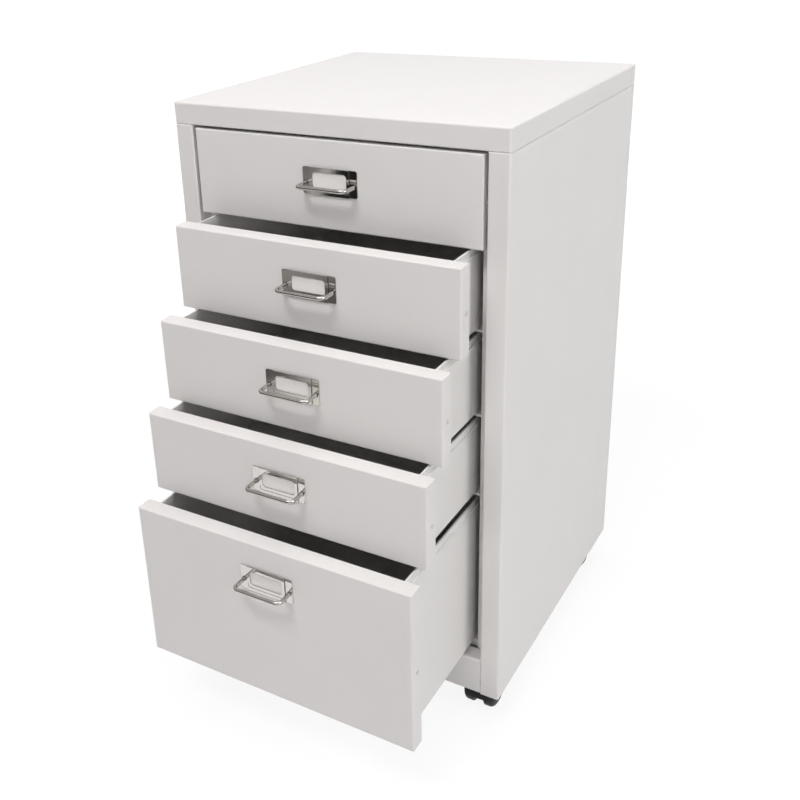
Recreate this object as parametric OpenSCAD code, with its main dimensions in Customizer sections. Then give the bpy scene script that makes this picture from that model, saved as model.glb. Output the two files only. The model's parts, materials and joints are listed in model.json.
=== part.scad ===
// Steel drawer cabinet. A folded sheet body stands on four twin-wheel castors and holds
// five drawers, four shallow ones over a deep one, which slide on stepped sheet runners.
// Millimetres, +Z up, front towards -Y. The origin is on the floor, under the middle of the body.

/* [Body] */
// Width of the body
body_w = 400; // [340:1:520]
// Depth of the body
body_d = 400; // [360:1:560]
// Thickness of the folded sheet
sheet = 1; // [0.7:0.1:1.3]
// Height of the skirt round the top
cap_h = 24.5; // [16:0.5:40]
// Width of the lip folded in under the skirt
cap_lip = 12; // [8:1:18]
// Distance from each corner to the skirt's lap seam
cap_lap = 15.5; // [12:0.5:20]
// Outer radius of the body's main folds
fold_r = 2.5; // [1.6:0.1:4]
// Outer radius of the smaller folds
edge_r = 1.6; // [1.4:0.1:2.4]
// Width of the stile on each side of the drawers
stile_w = 23; // [18:0.5:32]
// Width of the flanges along the sides' other edges
flange_w = 13; // [9:1:18]
// Height of the rail under the drawers
rail_h = 48; // [24:1:80]
// Height of the return behind the rail's top flange
rail_return = 12; // [6:1:18]
// Depth of the rail's bottom flange
rail_foot = 11; // [6:1:15]
// Height of the base panel above the body's lower edge
base_recess = 6; // [3:0.5:10]
// Height of the base panel's turned-up edges
base_edge = 15; // [8:1:20]

/* [Drawers] */
// Height of each of the four shallow drawer fronts
small_front_h = 96; // [80:0.5:130]
// Height of the deep drawer's front
big_front_h = 196.5; // [140:0.5:300]
// Thickness of the hollow drawer fronts
front_t = 19; // [14:0.5:24]
// Gap between a drawer front and the stile beside it
side_gap = 4; // [2:0.5:6]
// Gap between neighbouring shallow drawer fronts
drawer_gap = 2.4; // [2:0.1:8]
// Gap between the deep drawer's front and the one above
big_gap = 7; // [3:0.5:9]
// Gap between the top drawer's front and the skirt
top_gap = 3.3; // [1.5:0.1:5]
// Gap between the deep drawer's front and the rail
rail_gap = 2; // [1.5:0.5:6]
// Width of the lips folded in behind a drawer front
front_lip = 11; // [6:1:16]
// Full travel of every drawer
travel = 270; // [200:5:280]

/* [Rest openings] */
// How far drawer 1, the top one, stands open
open_1 = 0; // [0:1:180]
// How far drawer 2 stands open
open_2 = 50; // [0:1:180]
// How far drawer 3 stands open
open_3 = 91; // [0:1:180]
// How far drawer 4 stands open
open_4 = 127; // [0:1:180]
// How far drawer 5, the deep one, stands open
open_5 = 162; // [0:1:180]

/* [Trays] */
// Gap between a tray's side and the stile's inner edge
tray_side_gap = 18; // [14:0.5:24]
// Gap between a closed tray and the back panel
tray_back_gap = 19; // [12:1:40]
// Gap between a tray's side and the flange behind the stile
flange_gap = 6; // [5:0.5:8.5]
// Height of a shallow tray's floor above its front's lower edge
tray_lift = 4.8; // [2:0.1:6]
// Height of the deep tray's floor above its front's lower edge
big_tray_lift = 6; // [2:0.1:9]
// Height of a front's upper edge above its tray
tray_drop = 0.5; // [0.3:0.1:6]
// Width of the ledge below a tray's rim
ledge_w = 1.6; // [1.4:0.1:3]
// Height of the drawn-in band above the ledge
band_h = 7.5; // [6:0.5:14]
// Height of the folded hem on a tray's rim
hem_h = 5; // [3:0.5:5.5]
// Height of the tabs riveted inside a front, from each end of the front's side
tab_inset = 14; // [12:1:24]
// Depth of those tabs
tab_len = 12; // [10:0.5:13.5]
// Distance from a front's face to its side rivets
rivet_set = 11; // [10:0.5:12.5]
// Height of the middle of a front above its side rivets
rivet_low = 1.5; // [0:0.5:5]
// Radius of the rivets' shanks
rivet_r = 1.5; // [1:0.1:2]
// Radius of the rivets' heads
rivet_head_r = 2.4; // [2.2:0.1:3.2]
// Width of the pressed bead along a tray's floor
bead_w = 7; // [4:0.5:12]

/* [Runners] */
// Overlap of a runner's shelf under its tray
shelf_overlap = 10; // [5:0.5:16]
// Height of the runner's outer ledge above its shelf
step_h = 4; // [2.5:0.5:5]
// Play between a tray and the runner's step
step_play = 1.2; // [0.5:0.1:2]
// Play between a tray's floor and the shelf
shelf_play = 0.2; // [0.1:0.05:0.4]
// Height of the web fixed to the body's side
web_h = 14; // [10:1:20]
// Gap between the stile's rear flange and the runners behind it
runner_gap = 0.7; // [0.5:0.1:6]
// Gap between the stile's rear flange and the deep drawer's runners
low_runner_gap = 3.7; // [0.5:0.1:8]
// Length of the flat toe at a runner's front end
toe_l = 8.5; // [4:0.5:15]
// Reach of the toe beyond the runner's step
toe_w = 8; // [3:0.5:12]
// Height of the lip turned down at the toe's front
toe_lip = 2.8; // [1.5:0.1:3.5]
// Height of that lip on the deep drawer's runners
low_toe_lip = 11; // [2:0.5:14]
// Length of a runner behind a closed tray
runner_tail = 5; // [2:1:8]
// Height of the stops that stand on the ledge
stop_h = 12; // [8:1:18]
// Width of the stops
stop_w = 11; // [7:1:13]
// Play left at each end of the travel
stop_play = 0.3; // [0.1:0.1:0.6]

/* [Label plates and pulls] */
// Width of a label plate
plate_w = 66; // [56:1:90]
// Height of a label plate
plate_h = 29.5; // [26:0.5:36]
// Thickness of a label plate
plate_t = 0.8; // [0.5:0.1:1]
// Radius of a label plate's corners
plate_r = 2.2; // [1:0.1:5]
// Distance from a front's upper edge to its label plate
plate_drop = 29.3; // [16:0.1:34]
// Width of the raised frame on a plate
frame_w = 48; // [46:1:52]
// Height of the frame above the plate
frame_raise = 1.2; // [0.8:0.1:2]
// Width of the frame's window
window_w = 41; // [32:1:43]
// Height of the frame's window
window_h = 16.5; // [12:0.5:18]
// Radius of the window's corners
window_r = 3.5; // [0.5:0.5:5]
// Distance from the plate's top to the window
window_drop = 5.2; // [3.5:0.1:6]
// Thickness of the label card
card_t = 0.4; // [0.3:0.1:0.6]
// Distance between the centres of a pull's legs
pull_span = 58; // [57:0.5:60]
// Distance from a front's face to the centre of the pull's bar
pull_reach = 21.5; // [16:0.5:32]
// Radius of the pull's wire
wire_r = 2.3; // [1.8:0.1:2.6]
// Bend radius of the wire, at its centre
wire_bend = 6; // [4:0.5:9]
// Distance from the plate's top to the legs
leg_drop = 17.5; // [10:0.5:20]
// Radius of the legs' clinched ends
clinch_r = 3.8; // [3.2:0.1:4.5]

/* [Castors] */
// Diameter of the castor wheels
wheel_d = 40; // [34:1:50]
// Width over both wheels of a castor
wheels_w = 42; // [40:1:56]
// Width of each wheel's flat tread
tread_w = 6.5; // [5:0.5:9]
// Thickness of the web between two wheels
castor_web = 11.4; // [11:0.2:13]
// Gap between a wheel and the web beside it
wheel_gap = 0.5; // [0.3:0.1:1]
// Distance from the swivel axis to the axle
trail = 10; // [8:0.5:12]
// Radius of the axles
axle_r = 3; // [2:0.1:3.5]
// Radius of the swivel stems
stem_r = 4; // [3.5:0.1:4.2]
// Gap between the wheels and the hood
hood_gap = 1.2; // [0.8:0.1:2.5]
// Thickness of the hood
hood_t = 2; // [1.5:0.1:3]
// Width of the hood
hood_w = 30; // [26:1:40]
// Height of the hood's neck
neck_h = 3.5; // [2:0.5:6]
// Radius of the hood's neck
neck_r = 10; // [8:0.5:13]
// Height of the stem's collar under the base panel
collar_h = 3; // [2:0.5:5]
// Width of the stem's nut across its flats
nut_flats = 13; // [12:0.5:14]
// Distance from the body's side to a swivel axis
castor_in_x = 34; // [30:1:50]
// Distance from the body's front or back to a swivel axis
castor_in_y = 49; // [44:1:70]

/* [Back] */
// Rivets along each side of the back panel
back_rivet_count = 4; // [2:1:8]
// Distance from the outer rivets to the ends of the back panel
back_rivet_end = 50; // [20:5:90]

/* [Hidden] */
// Clearance between fixed sheets that slip into each other
fit = 0.1;
// Radial clearance of a turning shaft, and of a rivet or wire in its hole
run = 0.05;
// Clearance under a pivot's shoulder
shoulder = 0.3;
// Width and depth of the grooves that show a lap seam
seam = [0.5, 0.3];
// Height of a pressed bead in a tray's floor
bead_h = 0.8;
// Thickness of a rivet's head, and of a leg's clinched end
rivet_head_t = 0.8;
clinch_t = 1.4;
// Bevels and hubs of the castors
tread_edge = 1.5;
hub_r = 7;
axle_cover = 4.5;
nut_h = 6.5;
// Ground that the stem reaches above its nut
stem_tip = 3;
// Gap left under a tray's ear, its height, and the room it has beside the stile's flange
ear_gap = 1.5;
ear_h = 10;
ear_room = 1;
// Width of the label card's edge hidden behind the frame
card_hold = 2.5;

half_w = body_w / 2;
half_d = body_d / 2;
opening_x = half_w - stile_w;
castor_total = wheel_d + hood_gap + hood_t + neck_h + shoulder + collar_h;
body_z = castor_total - base_recess;
base_z = castor_total;
rail_top = body_z + rail_h;
front_w = 2 * (opening_x - side_gap);
face_y = -half_d;
front_back_y = face_y + front_t;
stop_y = front_back_y + sheet + stop_play;
behind_y = stop_y + sheet;
back_y = half_d - 2 * sheet;
tray_half = opening_x - tray_side_gap;
stile_flange = tray_side_gap - flange_gap;
ear_w = flange_gap - ear_room;
tray_rear_y = back_y - tray_back_gap;
tray_len = tray_rear_y - front_back_y;
pitch = small_front_h + drawer_gap;
side_top = front_z(0) + small_front_h + top_gap;
side_h = side_top - body_z;
rests = [open_1, open_2, open_3, open_4, open_5];
last = len(rests) - 1;
wheel_r = wheel_d / 2;
wheel_in = castor_web / 2 + wheel_gap;
wheel_out = wheels_w / 2;
hood_r = wheel_r + hood_gap;
pivot_x = half_w - castor_in_x;
pivot_y = half_d - castor_in_y;

// Height of the lower edge of a drawer's front; drawer 0 is the top one
function front_z(i) =
    i == 4 ? rail_top + rail_gap
           : rail_top + rail_gap + big_front_h + big_gap + (3 - i) * pitch;
function front_h(i) = i == 4 ? big_front_h : small_front_h;
function lift(i) = i == last ? big_tray_lift : tray_lift;
function tray_h(i) = front_h(i) - lift(i) - tray_drop;
function tray_z(i) = front_z(i) + lift(i);
function shelf_z(i) = tray_z(i) - shelf_play;
function plate_top(i) = front_z(i) + front_h(i) - plate_drop;
function leg_z(i) = plate_top(i) - leg_drop;
function runner_front(i) = behind_y + (i == last ? low_runner_gap : runner_gap);

// Colours of the painted sheet, the bright metal, the plastic and the card
paint = [0.88, 0.87, 0.86];
bright = [0.75, 0.75, 0.76];
black = [0.06, 0.06, 0.06];
paper = [0.93, 0.93, 0.91];

// A box from its low corner to its high corner
module block(low, high) {
    translate(low) cube(high - low);
}

// A quarter of a fold, from +X round to +Y about the origin
module bend(r) {
    intersection() {
        difference() {
            circle(r, $fn = 48);
            circle(r - sheet, $fn = 48);
        }
        square(r);
    }
}

// A rectangle on the X axis with its two upper corners rounded
module arched(w, h, r) {
    translate([-w / 2, 0]) square([w, h - r]);
    translate([r - w / 2, 0]) square([w - 2 * r, h]);
    for (s = [-1, 1]) translate([s * (w / 2 - r), h - r]) circle(r, $fn = 48);
}

// A centred rectangle with all four corners rounded
module rounded(w, h, r) {
    square([w, h - 2 * r], center = true);
    square([w - 2 * r, h], center = true);
    for (x = [-1, 1], y = [-1, 1]) translate([x * (w / 2 - r), y * (h / 2 - r)]) circle(r, $fn = 48);
}

// A block with rounded upright and upper edges, centred on the origin in plan
module soft_block(w, d, h, r) {
    intersection() {
        linear_extrude(h) rounded(w, d, r);
        rotate([90, 0, 0]) linear_extrude(d, center = true) arched(w, h, r);
        rotate([90, 0, 90]) linear_extrude(w, center = true) arched(d, h, r);
    }
}

// A block behind the plane y = -t, up to y = 0, with the four edges round its face rounded
module pan_block(w, h, t, r) {
    intersection() {
        linear_extrude(h) mirror([0, 1]) arched(w, t, r);
        translate([0, 0, h / 2]) rotate([0, 90, 0])
            linear_extrude(w, center = true) mirror([0, 1]) arched(h, t, r);
    }
}

// A cylinder along +X or +Y from the origin
module bar_x(r, l) {
    rotate([0, 90, 0]) cylinder(r = r, h = l, $fn = 48);
}
module bar_y(r, l) {
    rotate([-90, 0, 0]) cylinder(r = r, h = l, $fn = 48);
}

// The top: a shallow pan turned over, with a lip folded in all round its lower edge
module top_cap() {
    inner_r = fold_r - sheet;
    color(paint) translate([0, 0, side_top]) difference() {
        intersection() {
            union() {
                difference() {
                    soft_block(body_w, body_d, cap_h, fold_r);
                    translate([0, 0, -sheet])
                        soft_block(body_w - 2 * sheet, body_d - 2 * sheet, cap_h, inner_r);
                }
                linear_extrude(sheet) difference() {
                    rounded(body_w, body_d, fold_r);
                    square([body_w - 2 * cap_lip, body_d - 2 * cap_lip], center = true);
                }
            }
            translate([0, 0, cap_h]) mirror([0, 0, 1]) soft_block(body_w, body_d, cap_h, edge_r);
        }
        for (x = [-1, 1], y = [-1, 1])
            translate([x * half_w, y * (half_d - cap_lap), cap_h / 2 - fold_r])
                cube([2 * seam[1], seam[0], cap_h], center = true);
    }
}

// Plan of the right side: skin, flange behind, and in front a stile whose return carries
// the flange that the closed drawers meet
module side_plan() {
    turn_x = opening_x + sheet - edge_r;
    turn_y = behind_y - edge_r;
    translate([half_w - sheet, fold_r - half_d]) square([sheet, body_d - 2 * fold_r]);
    translate([half_w - fold_r, fold_r - half_d]) rotate(-90) bend(fold_r);
    translate([opening_x + edge_r, face_y]) square([stile_w - fold_r - edge_r, sheet]);
    translate([opening_x + edge_r, face_y + edge_r]) rotate(180) bend(edge_r);
    translate([opening_x, face_y + edge_r]) square([sheet, turn_y - face_y - edge_r]);
    translate([turn_x, turn_y]) bend(edge_r);
    translate([opening_x - stile_flange, stop_y]) square([turn_x - opening_x + stile_flange, sheet]);
    translate([half_w - fold_r, half_d - fold_r]) bend(fold_r);
    translate([half_w - flange_w, half_d - sheet]) square([flange_w - fold_r, sheet]);
}

// The side with flanges at its foot and top; the top one covers the stile too
module side() {
    color(paint) difference() {
        intersection() {
            union() {
                translate([0, 0, body_z]) linear_extrude(side_h) side_plan();
                for (z = [body_z, side_top - sheet])
                    block([half_w - flange_w, behind_y + fit, z], [half_w - sheet / 2, half_d - sheet / 2, z + sheet]);
                translate([0, 0, side_top - sheet]) linear_extrude(sheet) intersection() {
                    rounded(body_w, body_d, fold_r);
                    union() {
                        translate([half_w - flange_w, face_y]) square([flange_w, body_d]);
                        translate([opening_x, face_y]) square([stile_w, behind_y - face_y - edge_r]);
                    }
                }
            }
            translate([0, 0, body_z]) soft_block(body_w, body_d, side_h, edge_r);
        }
        back_rivet_holes();
    }
}
module right_side() { side(); }
module left_side() { mirror([1, 0, 0]) side(); }

// Places of the rivets that hold the back panel to the flange of the right side
back_low = body_z + sheet + fit;
back_high = side_top - sheet - fit;
function back_rivet_z(k) = back_low + back_rivet_end
    + k * (back_high - back_low - 2 * back_rivet_end) / (back_rivet_count - 1);
module at_back_rivets() {
    for (k = [0 : back_rivet_count - 1])
        translate([half_w - (flange_w + fold_r) / 2, half_d, back_rivet_z(k)]) children();
}
module back_rivet_holes() {
    at_back_rivets() translate([0, -3 * sheet, 0]) bar_y(rivet_r + run, 4 * sheet);
}
module back_rivets() {
    color(paint) for (s = [0, 1]) mirror([s, 0, 0]) at_back_rivets() rotate([0, 0, 180]) rivet(2 * sheet);
}

// A rivet: its head lies on the plane y = 0 towards -Y when turned about, its shank goes
// through a grip of sheets towards +Y and its clinched tail sits behind them
module rivet(grip) {
    translate([0, -rivet_head_t, 0]) bar_y(rivet_head_r, rivet_head_t);
    bar_y(rivet_r, grip + rivet_head_t);
    translate([0, grip, 0]) bar_y(rivet_head_r, rivet_head_t);
}

module back_panel() {
    reach = half_w - fold_r - fit;
    color(paint) difference() {
        block([-reach, back_y, back_low], [reach, back_y + sheet, back_high]);
        back_rivet_holes();
        mirror([1, 0, 0]) back_rivet_holes();
    }
}

// The base: a panel let into the body's foot, turned up along its sides and its back
module base_panel() {
    reach = half_w - sheet - fit;
    rear = back_y - fit;
    front = behind_y + fit;
    tongue = opening_x - stile_flange - fit;
    color(paint) difference() {
        union() {
            block([-reach, front, base_z], [reach, rear, base_z + sheet]);
            block([-tongue, face_y + sheet, base_z], [tongue, front + sheet, base_z + sheet]);
            for (s = [0, 1]) mirror([s, 0, 0])
                block([reach - sheet, front, base_z], [reach, rear, base_z + base_edge]);
            block([-reach, rear - sheet, base_z], [reach, rear, base_z + base_edge]);
        }
        for (x = [-1, 1], y = [-1, 1])
            translate([x * pivot_x, y * pivot_y, base_z - sheet])
                cylinder(r = stem_r + run, h = 3 * sheet, $fn = 48);
    }
}

// The rail between the stiles under the deep drawer, one sheet folded in cross-section:
// foot flange, face, top flange as deep as the stiles, and a return behind
module rail_profile() {
    square_w = stop_y - face_y;
    translate([fold_r, 0]) square([rail_foot - fold_r, sheet]);
    translate([fold_r, fold_r]) rotate(180) bend(fold_r);
    translate([0, fold_r]) square([sheet, rail_h - 2 * fold_r]);
    translate([fold_r, rail_h - fold_r]) rotate(90) bend(fold_r);
    translate([fold_r, rail_h - sheet]) square([square_w - fold_r - edge_r, sheet]);
    translate([square_w - edge_r, rail_h - edge_r]) bend(edge_r);
    translate([square_w - sheet, rail_h - rail_return]) square([sheet, rail_return - edge_r]);
}
module bottom_rail() {
    color(paint) translate([0, face_y, body_z]) rotate([90, 0, 90])
        linear_extrude(2 * opening_x, center = true) rail_profile();
}

// A runner on the right: web on the body's side, ledge, step and shelf, with a flat toe in
// front that is turned down at its edge, and the stop that ends the drawer's way out
module runner(i) {
    wall = half_w - sheet;
    step_x = tray_half + step_play;
    shelf_x = tray_half - shelf_overlap;
    toe_x = step_x + sheet + toe_w;
    top = shelf_z(i);
    ledge = top + step_h;
    front = runner_front(i);
    rear = tray_rear_y + runner_tail;
    stop_rear = tray_rear_y - sheet - travel - stop_play;
    block([shelf_x, front, top - sheet], [step_x + sheet, rear, top]);
    block([shelf_x, front, top - sheet], [toe_x, front + toe_l, top]);
    block([shelf_x, front, top - (i == last ? low_toe_lip : toe_lip)], [toe_x, front + sheet, top]);
    block([step_x, front + toe_l, top - sheet], [step_x + sheet, rear, ledge]);
    block([step_x, front + toe_l, ledge - sheet], [wall, rear, ledge]);
    block([wall - sheet, front + toe_l, ledge - web_h], [wall, rear, ledge]);
    block([step_x + sheet, stop_rear - sheet, ledge - sheet / 2],
          [step_x + sheet + stop_w, stop_rear, ledge + stop_h]);
}
module right_runners() {
    color(paint) for (i = [0 : last]) runner(i);
}
module left_runners() { mirror([1, 0, 0]) right_runners(); }

// Cross-section of a tray in X and Z, first filled and then as folded sheet
module tray_outline(i) {
    h = tray_h(i);
    translate([0, h - band_h]) mirror([0, 1]) arched(2 * tray_half, h - band_h, edge_r);
    translate([ledge_w - tray_half, h - 2 * band_h]) square([2 * (tray_half - ledge_w), 2 * band_h]);
}
module tray_section(i) {
    h = tray_h(i);
    a = tray_half;
    b = tray_half - ledge_w;
    difference() {
        tray_outline(i);
        translate([0, h - band_h - sheet]) mirror([0, 1])
            arched(2 * (a - sheet), h - band_h - 2 * sheet, edge_r - sheet);
        translate([sheet - b, sheet]) square([2 * (b - sheet), h - hem_h - sheet]);
        translate([2 * sheet - b, sheet]) square([2 * (b - 2 * sheet), h]);
    }
}

// A tray: one folded sheet with an end plate at the back, a wide plate with riveting tabs
// at the front, an ear on each side at the rear and a bead along the floor
module tray(i) {
    h = tray_h(i);
    wide = front_w / 2 - sheet - fit;
    color(paint) translate([0, -rests[i], tray_z(i)]) difference() {
        union() {
            translate([0, tray_rear_y, 0]) rotate([90, 0, 0]) linear_extrude(tray_len) tray_section(i);
            translate([0, tray_rear_y, 0]) rotate([90, 0, 0]) linear_extrude(sheet) tray_outline(i);
            block([-wide, front_back_y, 0], [wide, front_back_y + sheet, h]);
            for (s = [0, 1]) mirror([s, 0, 0]) {
                block([wide - sheet, front_back_y + sheet - tab_len, tab_inset],
                      [wide, front_back_y + sheet, front_h(i) - lift(i) - tab_inset]);
                block([tray_half - sheet, tray_rear_y - sheet, step_h + ear_gap],
                      [tray_half + ear_w, tray_rear_y, step_h + ear_gap + ear_h]);
            }
            block([-bead_w / 2, front_back_y + 4 * bead_w, 0],
                  [bead_w / 2, tray_rear_y - 4 * bead_w, sheet + bead_h]);
        }
        block([sheet - bead_w / 2, front_back_y + 4 * bead_w + sheet, -sheet],
              [bead_w / 2 - sheet, tray_rear_y - 4 * bead_w - sheet, bead_h]);
        front_rivet_holes(i, tray_z(i));
    }
}

// Places of the rivets through a front's sides, on the right, measured from a base height
module at_front_rivet(i, base) {
    translate([front_w / 2, face_y + rivet_set, front_z(i) + front_h(i) / 2 - rivet_low - base])
        rotate([0, 0, 90]) children();
}
module front_rivet_holes(i, base) {
    for (s = [0, 1]) mirror([s, 0, 0]) at_front_rivet(i, base)
        translate([0, -sheet, 0]) bar_y(rivet_r + run, 4 * sheet);
}
module front_rivets(i) {
    color(paint) translate([0, -rests[i], 0]) for (s = [0, 1]) mirror([s, 0, 0])
        at_front_rivet(i, 0) rivet(2 * sheet + fit);
}

// A drawer front: a hollow pan with its rim turned back, and lips folded in above and below
module front(i) {
    w = front_w / 2;
    h = front_h(i);
    color(paint) translate([0, -rests[i], front_z(i)]) difference() {
        translate([0, front_back_y, 0]) pan_block(front_w, h, front_t, edge_r);
        translate([0, front_back_y - sheet, sheet])
            pan_block(front_w - 2 * sheet, h - 2 * sheet, front_t - 2 * sheet, edge_r - sheet);
        block([sheet - w, front_back_y - 2 * sheet, front_lip], [w - sheet, front_back_y + sheet, h - front_lip]);
        front_rivet_holes(i, front_z(i));
        for (x = [-1, 1]) translate([x * pull_span / 2, face_y - sheet, leg_z(i) - front_z(i)])
            bar_y(wire_r + run, 3 * sheet);
    }
}

// A label plate: flat wings, a raised frame open at the top, a window and two leg holes
module label_plate(i) {
    face = plate_t + frame_raise;
    rim = plate_h - window_drop - window_h;
    color(bright) translate([0, face_y - rests[i], plate_top(i) - plate_h]) difference() {
        union() {
            rotate([90, 0, 0]) linear_extrude(plate_t)
                translate([0, plate_h / 2]) rounded(plate_w, plate_h, plate_r);
            block([-frame_w / 2, -face, 0], [frame_w / 2, 0, plate_h]);
        }
        block([plate_t - frame_w / 2, -frame_raise, rim - card_hold], [frame_w / 2 - plate_t, sheet, plate_h + sheet]);
        translate([0, sheet, rim + window_h / 2]) rotate([90, 0, 0])
            linear_extrude(3 * face) rounded(window_w, window_h, window_r);
        for (x = [-1, 1]) translate([x * pull_span / 2, -2 * face, plate_h - leg_drop])
            bar_y(wire_r + run, 4 * face);
    }
}

// A bare card that stands in the plate's pocket, close behind the window
module card(i) {
    rim = plate_h - window_drop - window_h;
    reach = frame_w / 2 - plate_t - 3 * fit;
    color(paper) translate([0, face_y - rests[i], plate_top(i) - plate_h])
        block([-reach, fit - frame_raise, rim - card_hold],
              [reach, fit - frame_raise + card_t, rim + window_h + card_hold]);
}

// A pull: round wire bent twice, with its legs through plate and front and clinched behind
module pull(i) {
    half = pull_span / 2;
    straight = pull_reach - wire_bend;
    color(bright) translate([0, face_y - rests[i], leg_z(i)]) {
        translate([wire_bend - half, -pull_reach, 0]) bar_x(wire_r, pull_span - 2 * wire_bend);
        for (s = [0, 1]) mirror([s, 0, 0]) {
            translate([half, -straight, 0]) bar_y(wire_r, straight + sheet + clinch_t);
            translate([half, sheet, 0]) bar_y(clinch_r, clinch_t);
            translate([half - wire_bend, -straight, 0]) rotate([0, 0, -90])
                rotate_extrude(angle = 90, $fn = 64) translate([wire_bend, 0]) circle(wire_r, $fn = 48);
        }
    }
}

// The fixed part of each castor: a steel stem with a collar under the base and a nut above
module castor_stems() {
    seat = base_z + sheet;
    low = wheel_r + axle_r + 4;
    color(bright) for (x = [-1, 1], y = [-1, 1]) translate([x * pivot_x, y * pivot_y, 0]) {
        translate([0, 0, low]) cylinder(r = stem_r, h = seat + nut_h + stem_tip - low, $fn = 48);
        translate([0, 0, base_z - collar_h]) cylinder(r = neck_r - 1, h = collar_h, $fn = 48);
        translate([0, 0, seat]) cylinder(r = nut_flats / sqrt(3), h = nut_h, $fn = 6);
    }
}

// The swivelling part: a web between the wheels, an arched hood over them and a neck
module hood() {
    neck_top = base_z - collar_h - shoulder;
    pin_low = wheel_r + axle_r + 4;
    hub = hub_r + 1;
    color(black) difference() {
        union() {
            translate([0, -trail, wheel_r]) rotate([90, 0, 90])
                linear_extrude(hood_w, center = true) intersection() {
                    difference() {
                        circle(hood_r + hood_t, $fn = 72);
                        circle(hood_r, $fn = 72);
                    }
                    translate([-2 * wheel_r, 0]) square([4 * wheel_r, 2 * wheel_r]);
                }
            translate([0, -trail, wheel_r]) rotate([90, 0, 90])
                linear_extrude(castor_web, center = true) {
                    circle(hub, $fn = 48);
                    translate([-hub, 0]) square([trail + hub + stem_r + 1.5, hood_r - 5]);
                    intersection() {
                        circle(hood_r + hood_t / 2, $fn = 72);
                        translate([-2 * hub, 0]) square([4 * wheel_r, 2 * wheel_r]);
                    }
                }
            translate([0, 0, wheel_d + hood_gap / 2]) cylinder(r = neck_r, h = neck_top - wheel_d - hood_gap / 2, $fn = 48);
        }
        translate([0, 0, pin_low - shoulder]) cylinder(r = stem_r + run, h = castor_total, $fn = 48);
        translate([-wheels_w, -trail, wheel_r]) bar_x(axle_r + run / 2, 2 * wheels_w);
    }
}

module axle() {
    reach = wheel_out - axle_cover;
    color(bright) translate([-reach, -trail, wheel_r]) bar_x(axle_r, 2 * reach);
}

// Half profile of a wheel, radius along X and width along Y: flat tread and domed cover
module wheel_profile() {
    tread_in = wheel_in + tread_edge;
    tread_out = tread_in + tread_w;
    polygon([
        [axle_r + run, wheel_in],
        [wheel_r - 2 * tread_edge, wheel_in],
        [wheel_r - tread_edge / 2, wheel_in + tread_edge / 2],
        for (a = [0:15:90])
            [hub_r + (wheel_r - hub_r) * cos(a), tread_out + (wheel_out - tread_out) * sin(a)],
        [0, wheel_out],
        [0, wheel_out - axle_cover + shoulder],
        [axle_r + run, wheel_out - axle_cover + shoulder]
    ]);
    translate([wheel_r - tread_edge, tread_in]) square([tread_edge, tread_w]);
}
module wheel() {
    color(black) translate([0, -trail, wheel_r]) rotate([0, 90, 0])
        rotate_extrude($fn = 96) wheel_profile();
}

// Where each castor stands: 0 and 1 in front, 2 and 3 behind, left before right; the front
// ones trail towards the front, the rear ones towards the back
module at_castor(c) {
    translate([(c % 2 == 0 ? -1 : 1) * pivot_x, (c < 2 ? -1 : 1) * pivot_y, 0])
        mirror([0, c < 2 ? 0 : 1, 0]) children();
}
module wheel_a(c) { at_castor(c) mirror([1, 0, 0]) wheel(); }
module wheel_b(c) { at_castor(c) wheel(); }

top_cap();
left_side();
right_side();
back_panel();
base_panel();
bottom_rail();
left_runners();
right_runners();
castor_stems();
back_rivets();
for (i = [0 : last]) {
    front(i);
    tray(i);
    front_rivets(i);
    label_plate(i);
    card(i);
    pull(i);
}
corners = ["front_left", "front_right", "rear_left", "rear_right"];
for (c = [0 : 3]) {
    at_castor(c) hood();
    at_castor(c) axle();
    wheel_a(c);
    wheel_b(c);
}
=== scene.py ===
import json
import math

import bpy
from mathutils import Matrix, Vector


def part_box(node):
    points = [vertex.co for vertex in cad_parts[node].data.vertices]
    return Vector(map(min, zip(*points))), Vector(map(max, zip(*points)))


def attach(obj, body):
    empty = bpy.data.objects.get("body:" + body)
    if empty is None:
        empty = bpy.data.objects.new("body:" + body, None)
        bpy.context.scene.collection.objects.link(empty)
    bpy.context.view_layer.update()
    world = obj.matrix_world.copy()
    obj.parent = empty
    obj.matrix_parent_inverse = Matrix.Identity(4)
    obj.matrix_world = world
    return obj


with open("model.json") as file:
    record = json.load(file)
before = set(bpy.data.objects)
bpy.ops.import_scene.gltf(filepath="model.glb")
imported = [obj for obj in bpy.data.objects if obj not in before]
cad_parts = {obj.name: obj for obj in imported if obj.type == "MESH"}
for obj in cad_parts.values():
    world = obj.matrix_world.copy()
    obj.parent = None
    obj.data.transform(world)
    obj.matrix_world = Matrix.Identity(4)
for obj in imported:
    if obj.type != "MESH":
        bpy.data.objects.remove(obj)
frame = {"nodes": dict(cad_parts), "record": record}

scene = bpy.context.scene
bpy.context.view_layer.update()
nodes = frame["nodes"]
scene.view_settings.view_transform = "Standard"


# Camera, from the fit of the photograph. Lengths in metres
AZIMUTH, ELEVATION, ROLL = (math.radians(a) for a in (31.59, 22.33, -2.35))
FOCAL_PX, CENTRE_PX, IMAGE_PX, SENSOR_MM = 1029.0, (343.0, 322.0), 800.0, 36.0
DISTANCE, SLIDE_X, SLIDE_Y = 1.3, 0.0076, 0.4096
CAMERA_ORIGIN = Vector((0.0, -0.2, 0.044))
CLIP_START = 0.02


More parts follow.
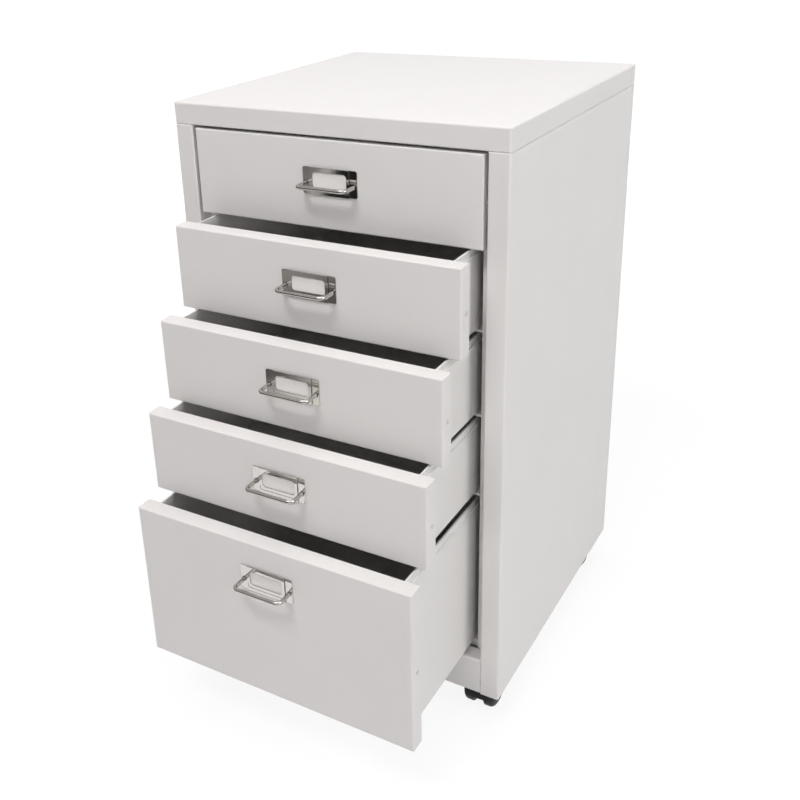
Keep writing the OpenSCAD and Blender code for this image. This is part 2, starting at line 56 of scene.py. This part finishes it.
def add_camera():
    back = Vector((math.sin(AZIMUTH) * math.cos(ELEVATION), -math.cos(AZIMUTH) * math.cos(ELEVATION),
                   math.sin(ELEVATION)))
    right = Vector((math.cos(AZIMUTH), math.sin(AZIMUTH), 0.0))
    up = back.cross(right)
    x_axis = right * math.cos(ROLL) + up * math.sin(ROLL)
    y_axis = up * math.cos(ROLL) - right * math.sin(ROLL)
    place = CAMERA_ORIGIN + back * DISTANCE + right * SLIDE_X + up * SLIDE_Y
    data = bpy.data.cameras.new("camera")
    data.sensor_width = SENSOR_MM
    data.lens = FOCAL_PX / IMAGE_PX * SENSOR_MM
    data.shift_x = (IMAGE_PX / 2 - CENTRE_PX[0]) / IMAGE_PX
    data.shift_y = -(IMAGE_PX / 2 - CENTRE_PX[1]) / IMAGE_PX
    data.clip_start = CLIP_START
    camera = bpy.data.objects.new("camera", data)
    scene.collection.objects.link(camera)
    camera.matrix_world = Matrix((
        (x_axis.x, y_axis.x, back.x, place.x),
        (x_axis.y, y_axis.y, back.y, place.y),
        (x_axis.z, y_axis.z, back.z, place.z),
        (0.0, 0.0, 0.0, 1.0)))
    scene.camera = camera


class Nodes:
    """A node tree, with short calls for the nodes used here."""

    def __init__(self, tree):
        self.tree = tree

    def node(self, kind, operation=None, **inputs):
        made = self.tree.nodes.new(kind)
        if operation:
            made.operation = operation
        for key, value in inputs.items():
            made.inputs[key].default_value = value
        return made

    def link(self, source, target):
        self.tree.links.new(source, target)

    def combine(self, operation, first, second):
        made = self.node("ShaderNodeMath", operation)
        self.link(first, made.inputs[0])
        self.link(second, made.inputs[1])
        return made.outputs[0]

    def axes(self, place):
        made = self.node("ShaderNodeSeparateXYZ")
        self.link(place, made.inputs[0])
        return made.outputs

    def span(self, source, low, high, start=0.3, end=0.7):
        """Maps start..end of the source to low..high."""
        made = self.node("ShaderNodeMapRange", **{"From Min": start, "From Max": end, "To Min": low, "To Max": high})
        self.link(source, made.inputs["Value"])
        return made.outputs["Result"]

    def ramp(self, source, stops):
        """A colour for each level of the source, from (position, colour) stops."""
        made = self.node("ShaderNodeValToRGB")
        band = made.color_ramp
        while len(band.elements) < len(stops):
            band.elements.new(0.5)
        for element, (place, colour) in zip(band.elements, stops):
            element.position = place
            element.color = (*colour, 1.0)
        self.link(source, made.inputs["Fac"])
        return made.outputs["Color"]


# Materials of the part. Noise scales are per metre, bump depths in metres
class Finish(Nodes):
    """The nodes of a material of the part."""

    def __init__(self, name):
        self.material = bpy.data.materials.new(name)
        self.material.use_nodes = True
        super().__init__(self.material.node_tree)
        self.shader = self.tree.nodes["Principled BSDF"]
        self.place = self.node("ShaderNodeTexCoord").outputs["Object"]

    def noise(self, scale, detail=2.0, roughness=0.5, stretch=None):
        made = self.node("ShaderNodeTexNoise", Scale=scale, Detail=detail, Roughness=roughness)
        source = self.place
        if stretch:
            squeeze = self.node("ShaderNodeMapping", Scale=stretch)
            self.link(source, squeeze.inputs["Vector"])
            source = squeeze.outputs["Vector"]
        self.link(source, made.inputs["Vector"])
        return made.outputs["Fac"]

    def bump(self, source, strength, depth, before=None):
        made = self.node("ShaderNodeBump", Strength=strength, Distance=depth)
        self.link(source, made.inputs["Height"])
        if before:
            self.link(before, made.inputs["Normal"])
        return made.outputs["Normal"]

    def paint_crease_shade(self, colour, distance, stops):
        """Painted shade: multiplies a colour by a ramp of how open the surface is within a distance, darkening
        creases.
        """
        found = self.node("ShaderNodeAmbientOcclusion", Distance=distance)
        found.samples = 8
        mix = self.node("ShaderNodeMix")
        mix.data_type, mix.blend_type = "RGBA", "MULTIPLY"
        factor, first, second, result = mix.inputs[0], mix.inputs[6], mix.inputs[7], mix.outputs[2]
        factor.default_value = 1.0
        self.link(colour, first)
        self.link(self.ramp(found.outputs["AO"], stops), second)
        return result

    def done(self, colour, roughness, normal, **values):
        """Links what varies over the surface, and sets the shader's plain values."""
        self.link(colour, self.shader.inputs["Base Color"])
        self.link(roughness, self.shader.inputs["Roughness"])
        self.link(normal, self.shader.inputs["Normal"])
        for name, value in values.items():
            self.shader.inputs[name.replace("_", " ")].default_value = value
        return self.material


def darker(tone, share):
    return tuple(c * share for c in tone)


def painted_steel(name, tone):
    """Semi-gloss powder coat: faint orange peel, a breath of tone, and gloss that varies a little."""
    f = Finish(name)
    peel = f.bump(f.noise(900.0, 2.0), 0.05, 0.0004)
    return f.done(
        colour=f.ramp(f.noise(9.0, 3.0), [(0.35, darker(tone, 0.985)), (0.65, tone)]),
        roughness=f.span(f.noise(45.0, 3.0), 0.34, 0.42),
        normal=f.bump(f.noise(5.0, 1.0), 0.25, 0.002, peel),
        Specular_IOR_Level=0.4)


def bright_metal(name, tone, gloss, crown=0.0):
    """Nickel-chrome: upright drawing lines, slight waves, painted shade in the creases, and a plate crowned about x
    = 0.
    """
    f = Finish(name)
    lines = f.ramp(f.noise(60.0, 4.0, stretch=(6.0, 6.0, 0.6)), [(0.3, darker(tone, 0.93)), (0.7, tone)])
    normal = f.bump(f.noise(120.0, 3.0, stretch=(3.0, 3.0, 0.3)), 0.07, 0.0004)
    if crown:
        x = f.axes(f.place)["X"]
        normal = f.bump(f.combine("MULTIPLY", x, x), 1.0, -crown, normal)
    return f.done(
        # Creases get painted shade, near black where the surface is closed in
        colour=f.paint_crease_shade(lines, 0.002, [(0.45, (0.12, 0.11, 0.10)), (0.9, (1.0, 1.0, 1.0))]),
        roughness=f.span(f.noise(220.0, 4.0, stretch=(4.0, 4.0, 0.4)), *gloss),
        normal=normal,
        Metallic=1.0)


def plain_steel(name):
    """Zinc-plated turned steel with fine rings."""
    f = Finish(name)
    return f.done(
        colour=f.ramp(f.noise(80.0, 4.0), [(0.3, (0.44, 0.44, 0.45)), (0.7, (0.58, 0.58, 0.60))]),
        roughness=f.span(f.noise(300.0, 3.0, stretch=(1.0, 1.0, 6.0)), 0.28, 0.46),
        normal=f.bump(f.noise(700.0, 2.0, stretch=(1.0, 1.0, 5.0)), 0.15, 0.0003),
        Metallic=1.0)


def black_plastic(name):
    """Black moulded nylon with a fine grain and a slight sheen."""
    f = Finish(name)
    return f.done(
        colour=f.ramp(f.noise(30.0, 3.0), [(0.3, (0.005, 0.005, 0.0055)), (0.7, (0.009, 0.009, 0.0095))]),
        roughness=f.span(f.noise(160.0, 4.0), 0.36, 0.52),
        normal=f.bump(f.noise(1500.0, 3.0), 0.2, 0.0002),
        Specular_IOR_Level=0.25)


def bare_card(name):
    """White card with the mottle of paper."""
    f = Finish(name)
    return f.done(
        colour=f.ramp(f.noise(400.0, 5.0, 0.7, stretch=(1.0, 1.0, 3.0)),
                      [(0.3, (0.83, 0.82, 0.80)), (0.7, (0.88, 0.87, 0.85))]),
        roughness=f.span(f.noise(700.0, 3.0), 0.7, 0.9),
        normal=f.bump(f.noise(1200.0, 4.0, 0.7), 0.3, 0.0002),
        Specular_IOR_Level=0.25)


# The rivet tone is the paint made darker, as painted shade around the rivet heads
PAINT_TONE, RIVET_SHADE_TONE = (0.797, 0.789, 0.777), (0.67, 0.66, 0.645)
WIRE_TONE, WIRE_GLOSS = (0.58, 0.555, 0.535), (0.09, 0.17)
PLATE_TONE, PLATE_GLOSS, PLATE_CROWN = (0.67, 0.65, 0.625), (0.03, 0.07), 1.0
MATERIALS = {
    "white_paint": painted_steel("white_paint", PAINT_TONE),
    "rivet_shaded_paint": painted_steel("rivet_shaded_paint", RIVET_SHADE_TONE),
    "bright_metal": bright_metal("bright_metal", WIRE_TONE, WIRE_GLOSS),
    "pressed_plate": bright_metal("pressed_plate", PLATE_TONE, PLATE_GLOSS, PLATE_CROWN),
    "plain_steel": plain_steel("plain_steel"),
    "black_plastic": black_plastic("black_plastic"),
    "label_card": bare_card("label_card"),
}
# Nodes that look different from the rest of their slot, by the end of their names; the rivets' darker paint is
# painted shade
SPECIAL_FINISHES = {"_label_plate": "pressed_plate", "_rivets": "rivet_shaded_paint"}

for part in frame["record"]["subparts"]:
    finish = part["material_slot"]
    for ending, special in SPECIAL_FINISHES.items():
        if part["node"].endswith(ending):
            finish = special
    worn = nodes[part["node"]].data.materials
    worn.clear()
    worn.append(MATERIALS[finish])


# Frame lips, in metres from a label plate's middle and lower edge
LIP_HALF, LIP_UP, LIP_BEND, LIP_R = 0.0235, 0.0037, 0.0025, 0.0003
LIP_SIDES, BEND_POINTS, BEND_STEP = 8, 7, 15
DEPTH_AXIS = Vector((0, 1, 0))
DRAWERS = 5


def add_lip(number):
    """The turned lower lip of a plate's raised frame, a fine bead with an upturned bend at each end."""
    low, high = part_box(f"drawer_{number}_label_plate")
    face, bottom = low[1], low[2] + LIP_UP
    path = [(-LIP_HALF, bottom + 2 * LIP_BEND)]
    for k in range(BEND_POINTS):
        turn = math.radians(BEND_STEP * k)
        path.append((-LIP_HALF + LIP_BEND * (1 - math.cos(turn)), bottom + LIP_BEND * (1 - math.sin(turn))))
    path += [(-x, z) for x, z in reversed(path)]
    rings, sides = len(path), LIP_SIDES
    points, faces = [], []
    for k, (x, z) in enumerate(path):
        ahead, behind = path[min(k + 1, rings - 1)], path[max(k - 1, 0)]
        along = Vector((ahead[0] - behind[0], 0, ahead[1] - behind[1])).normalized()
        across = along.cross(DEPTH_AXIS)
        for j in range(sides):
            turn = 2 * math.pi * j / sides
            spoke = across * math.cos(turn) + DEPTH_AXIS * math.sin(turn)
            points.append(Vector((x, face, z)) + LIP_R * spoke)
    for k in range(rings - 1):
        for j in range(sides):
            n = (j + 1) % sides
            faces.append((k * sides + j, k * sides + n, (k + 1) * sides + n, (k + 1) * sides + j))
    faces += [tuple(reversed(range(sides))), tuple(range((rings - 1) * sides, rings * sides))]
    mesh = bpy.data.meshes.new(f"drawer_{number}_frame_lip")
    mesh.from_pydata(points, [], faces)
    mesh.polygons.foreach_set("use_smooth", [True] * len(faces))
    lip = bpy.data.objects.new(f"drawer_{number}_frame_lip", mesh)
    scene.collection.objects.link(lip)
    mesh.materials.append(MATERIALS["bright_metal"])
    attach(lip, f"drawer_{number}")


for number in range(1, DRAWERS + 1):
    add_lip(number)


# Studio: a pale floor and a white surround, which keep the shadow
FLOOR_HALF = 9.0
FLOOR_BOUNCE, FLOOR_SHADE, FLOOR_GLOW = 0.765, 0.14, 0.885
FADE_NEAR, FADE_FAR = 0.7, 2.2
AMBIENT = 0.125


class Stage(Nodes):
    """The nodes of a stage material or of the world."""

    def place(self):
        return self.node("ShaderNodeTexCoord").outputs["Object"]

    def reach(self, place):
        """Distance from the origin."""
        length = self.node("ShaderNodeVectorMath", "LENGTH")
        self.link(place, length.inputs[0])
        return length.outputs["Value"]

    def seen(self):
        """1 for what the camera or a reflection sees, 0 for the light that falls on the part."""
        path = self.node("ShaderNodeLightPath")
        gloss = self.combine("MAXIMUM", path.outputs["Is Glossy Ray"], path.outputs["Is Transmission Ray"])
        return self.combine("MAXIMUM", path.outputs["Is Camera Ray"], gloss)

    def surface(self, shader):
        self.link(shader.outputs[0], self.node("ShaderNodeOutputMaterial").inputs["Surface"])


def stage_material(name):
    material = bpy.data.materials.new(name)
    material.use_nodes = True
    material.node_tree.nodes.clear()
    return material, Stage(material.node_tree)


def stage_object(name, corners, faces, material):
    mesh = bpy.data.meshes.new(name)
    mesh.from_pydata(corners, [], faces)
    obj = bpy.data.objects.new(name, mesh)
    scene.collection.objects.link(obj)
    mesh.materials.append(material)
    return obj


def grey(level):
    return (level, level, level, 1)


def add_floor():
    material, s = stage_material("floor")
    plain = s.node("ShaderNodeBsdfDiffuse", Color=grey(FLOOR_BOUNCE))
    shade = s.node("ShaderNodeBsdfDiffuse", Color=grey(FLOOR_SHADE))
    glow = s.node("ShaderNodeEmission", Color=grey(1))
    s.link(s.span(s.reach(s.place()), FLOOR_GLOW, 1.0, FADE_NEAR, FADE_FAR), glow.inputs["Strength"])
    both = s.node("ShaderNodeAddShader")
    s.link(shade.outputs[0], both.inputs[0])
    s.link(glow.outputs[0], both.inputs[1])
    mix = s.node("ShaderNodeMixShader")
    s.link(s.seen(), mix.inputs["Fac"])
    s.link(plain.outputs[0], mix.inputs[1])
    s.link(both.outputs[0], mix.inputs[2])
    s.surface(mix)
    half = FLOOR_HALF
    corners = [(-half, -half, 0), (half, -half, 0), (half, half, 0), (-half, half, 0)]
    floor = stage_object("floor", corners, [(0, 1, 2, 3)], material)


def add_world():
    world = bpy.data.worlds.new("world")
    scene.world = world
    world.use_nodes = True
    s = Stage(world.node_tree)
    ground = s.tree.nodes["Background"]
    ground.inputs["Color"].default_value = grey(1)
    s.link(s.span(s.seen(), AMBIENT, 1.0, 0.0, 1.0), ground.inputs["Strength"])


# Screens are painted reflections: glowing sheets, no lamps, that show only in gloss. Their tones are (metres along
# the axis, level)
OUTWARD_LEAN = -0.35
SCREEN_TINT = (1.0, 0.97, 0.93)
GROUND_TONE = [(1.22, 0.95), (1.31, 0.75), (1.36, 0.5), (1.40, 0.32), (1.44, 0.13), (1.8, 0.12), (1.92, 0.14),
               (2.03, 0.28), (2.15, 0.32), (2.35, 0.2), (2.55, 0.02), (3.7, 0.02)]
PATCH_TONE = [(-1.8, 0.2), (-1.56, 0.26), (-1.46, 0.52), (-1.36, 0.5), (-1.27, 0.08), (-1.2, 0.02)]
WALL_TONE = [(0.0, 0.03), (1.2, 0.05), (2.0, 0.3)]
CEILING_TONE = [(-3.3, 0.4), (2.4, 0.6)]
GLINT_TONE = [(-1.0, 1.0), (1.0, 1.0)]
WALL_RADIUS, WALL_HEIGHT, WALL_START, WALL_STEP, WALL_POSTS = 3.3, 2.0, 150, 15, 15
KEY_PLACE, KEY_TARGET, KEY_SIZE, KEY_GLINT = (0.0, -1.9, 3.0), (0.0, 0.0, 0.4), (1.1, 0.7), 3.0


def screen_material(name, axis, near, far, tone, strength):
    """Painted reflection: plain glow whose level runs along an axis of the room, or outwards over the ground."""
    material, s = stage_material(name)
    place = s.place()
    axes = s.axes(place)
    if axis == "outwards":
        lean = s.node("ShaderNodeMath", "MULTIPLY_ADD")
        lean.inputs[1].default_value = OUTWARD_LEAN
        s.link(axes["X"], lean.inputs[0])
        s.link(s.reach(place), lean.inputs[2])
        run = lean.outputs[0]
    else:
        run = axes[axis]
    stops = [((where - near) / (far - near), darker(SCREEN_TINT, level)) for where, level in tone]
    glow = s.node("ShaderNodeEmission", Strength=strength)
    s.link(s.ramp(s.span(run, 0.0, 1.0, near, far), stops), glow.inputs["Color"])
    s.surface(glow)
    return material


def flat_corners(x_low, x_high, y_first, y_last, z):
    return [(x, y, z) for y in (y_first, y_last) for x in (x_low, x_high)]


def wall_corners():
    corners = []
    for k in range(WALL_POSTS):
        turn = math.radians(WALL_START + WALL_STEP * k)
        for height in (0.0, WALL_HEIGHT):
            corners.append((WALL_RADIUS * math.cos(turn), WALL_RADIUS * math.sin(turn), height))
    return corners


def key_corners():
    aim = (Vector(KEY_TARGET) - Vector(KEY_PLACE)).normalized()
    wide, deep = Vector((KEY_SIZE[0] / 2, 0, 0)), aim.cross(Vector((1, 0, 0))) * (KEY_SIZE[1] / 2)
    return [tuple(Vector(KEY_PLACE) + a * wide + b * deep) for b in (-1, 1) for a in (-1, 1)]


# Name, axis, range in metres, tone, strength, and corners in pairs along the screen's strip
SCREENS = [
    ("ground", "outwards", (1.2, 3.7), GROUND_TONE, 1.0, flat_corners(-3.2, 2.6, -0.86, -3.4, 0.004)),
    ("patch", "X", (-1.8, -1.2), PATCH_TONE, 1.0, flat_corners(-3.2, -1.2, -1.95, -3.4, 0.008)),
    ("wall", "Z", (0.0, 2.0), WALL_TONE, 1.0, wall_corners()),
    ("ceiling", "Y", (-3.3, 2.4), CEILING_TONE, 1.0, flat_corners(-3.3, 3.3, -3.3, 2.4, 3.5)),
    # The glint screen is a painted highlight: it glows in gloss where the key lamp, hidden from gloss, would shine
    ("glint", "X", (-1.0, 1.0), GLINT_TONE, KEY_GLINT, key_corners()),
]


def add_screen(name, axis, ends, tone, strength, corners):
    material = screen_material(f"{name}_tone", axis, *ends, tone, strength)
    faces = [(k, k + 1, k + 3, k + 2) for k in range(0, len(corners) - 2, 2)]
    screen = stage_object(f"{name}_screen", corners, faces, material)
    screen.visible_camera = screen.visible_diffuse = screen.visible_shadow = False
    screen.visible_transmission = screen.visible_volume_scatter = False


# Name, place, target, size in metres, watts, tint, and whether the lamp shows in gloss
FRONT_TINT, TOP_TINT = (1.0, 0.957, 0.962), (1.0, 0.984, 0.978)
LAMPS = [
    ("key", KEY_PLACE, KEY_TARGET, KEY_SIZE, 45.0, FRONT_TINT, False),
    ("side", (3.0, -0.4, 1.9), (0.1, 0.0, 0.35), (1.6, 1.6), 38.0, TOP_TINT, True),
    ("overhead", (0.0, 0.0, 3.2), (0.0, 0.0, 0.4), (2.4, 2.4), 35.0, TOP_TINT, True),
    ("back", (-0.75, 3.0, 0.37), (0.0, 0.0, 0.37), (1.6, 0.6), 29.0, TOP_TINT, False),
    ("left", (-3.0, 0.6, 0.37), (0.0, 0.0, 0.37), (1.6, 0.6), 29.0, TOP_TINT, False),
    ("fill", (2.0, -2.4, 1.6), (0.0, -0.2, 0.4), (1.6, 1.6), 10.0, FRONT_TINT, True),
]


def add_lamp(name, place, target, size, power, tint, in_gloss):
    data = bpy.data.lights.new(name, "AREA")
    data.shape = "RECTANGLE"
    data.size, data.size_y = size
    data.energy = power
    data.color = tint
    lamp = bpy.data.objects.new(name, data)
    scene.collection.objects.link(lamp)
    lamp.location = place
    aim = Vector(target) - Vector(place)
    lamp.rotation_euler = aim.to_track_quat("-Z", "Y").to_euler()
    lamp.visible_glossy = in_gloss


add_camera()
add_floor()
add_world()
for screen in SCREENS:
    add_screen(*screen)
for lamp in LAMPS:
    add_lamp(*lamp)


# Sharp edges get the small radius of folded sheet and of pressed plates, in metres, by the node's name
EDGE_RADII = {"bottom_rail": 0.0003, "_tray": 0.0004, "_label_plate": 0.0003}
EDGE_SEGMENTS, EDGE_ANGLE = 3, 28.0
JOIN_DISTANCE, FLAT_ANGLE = 0.000002, 1.0


def round_edges(obj, radius):
    """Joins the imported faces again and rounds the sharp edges."""
    weld = obj.modifiers.new("join", "WELD")
    weld.merge_threshold = JOIN_DISTANCE
    merge = obj.modifiers.new("flats", "DECIMATE")
    merge.decimate_type = "DISSOLVE"
    merge.angle_limit = math.radians(FLAT_ANGLE)
    bevel = obj.modifiers.new("edges", "BEVEL")
    bevel.width = radius
    bevel.segments = EDGE_SEGMENTS
    bevel.limit_method = "ANGLE"
    bevel.angle_limit = math.radians(EDGE_ANGLE)
    bevel.use_clamp_overlap = True
    bevel.harden_normals = True


for name, obj in nodes.items():
    for ending, radius in EDGE_RADII.items():
        if name.endswith(ending):
            round_edges(obj, radius)
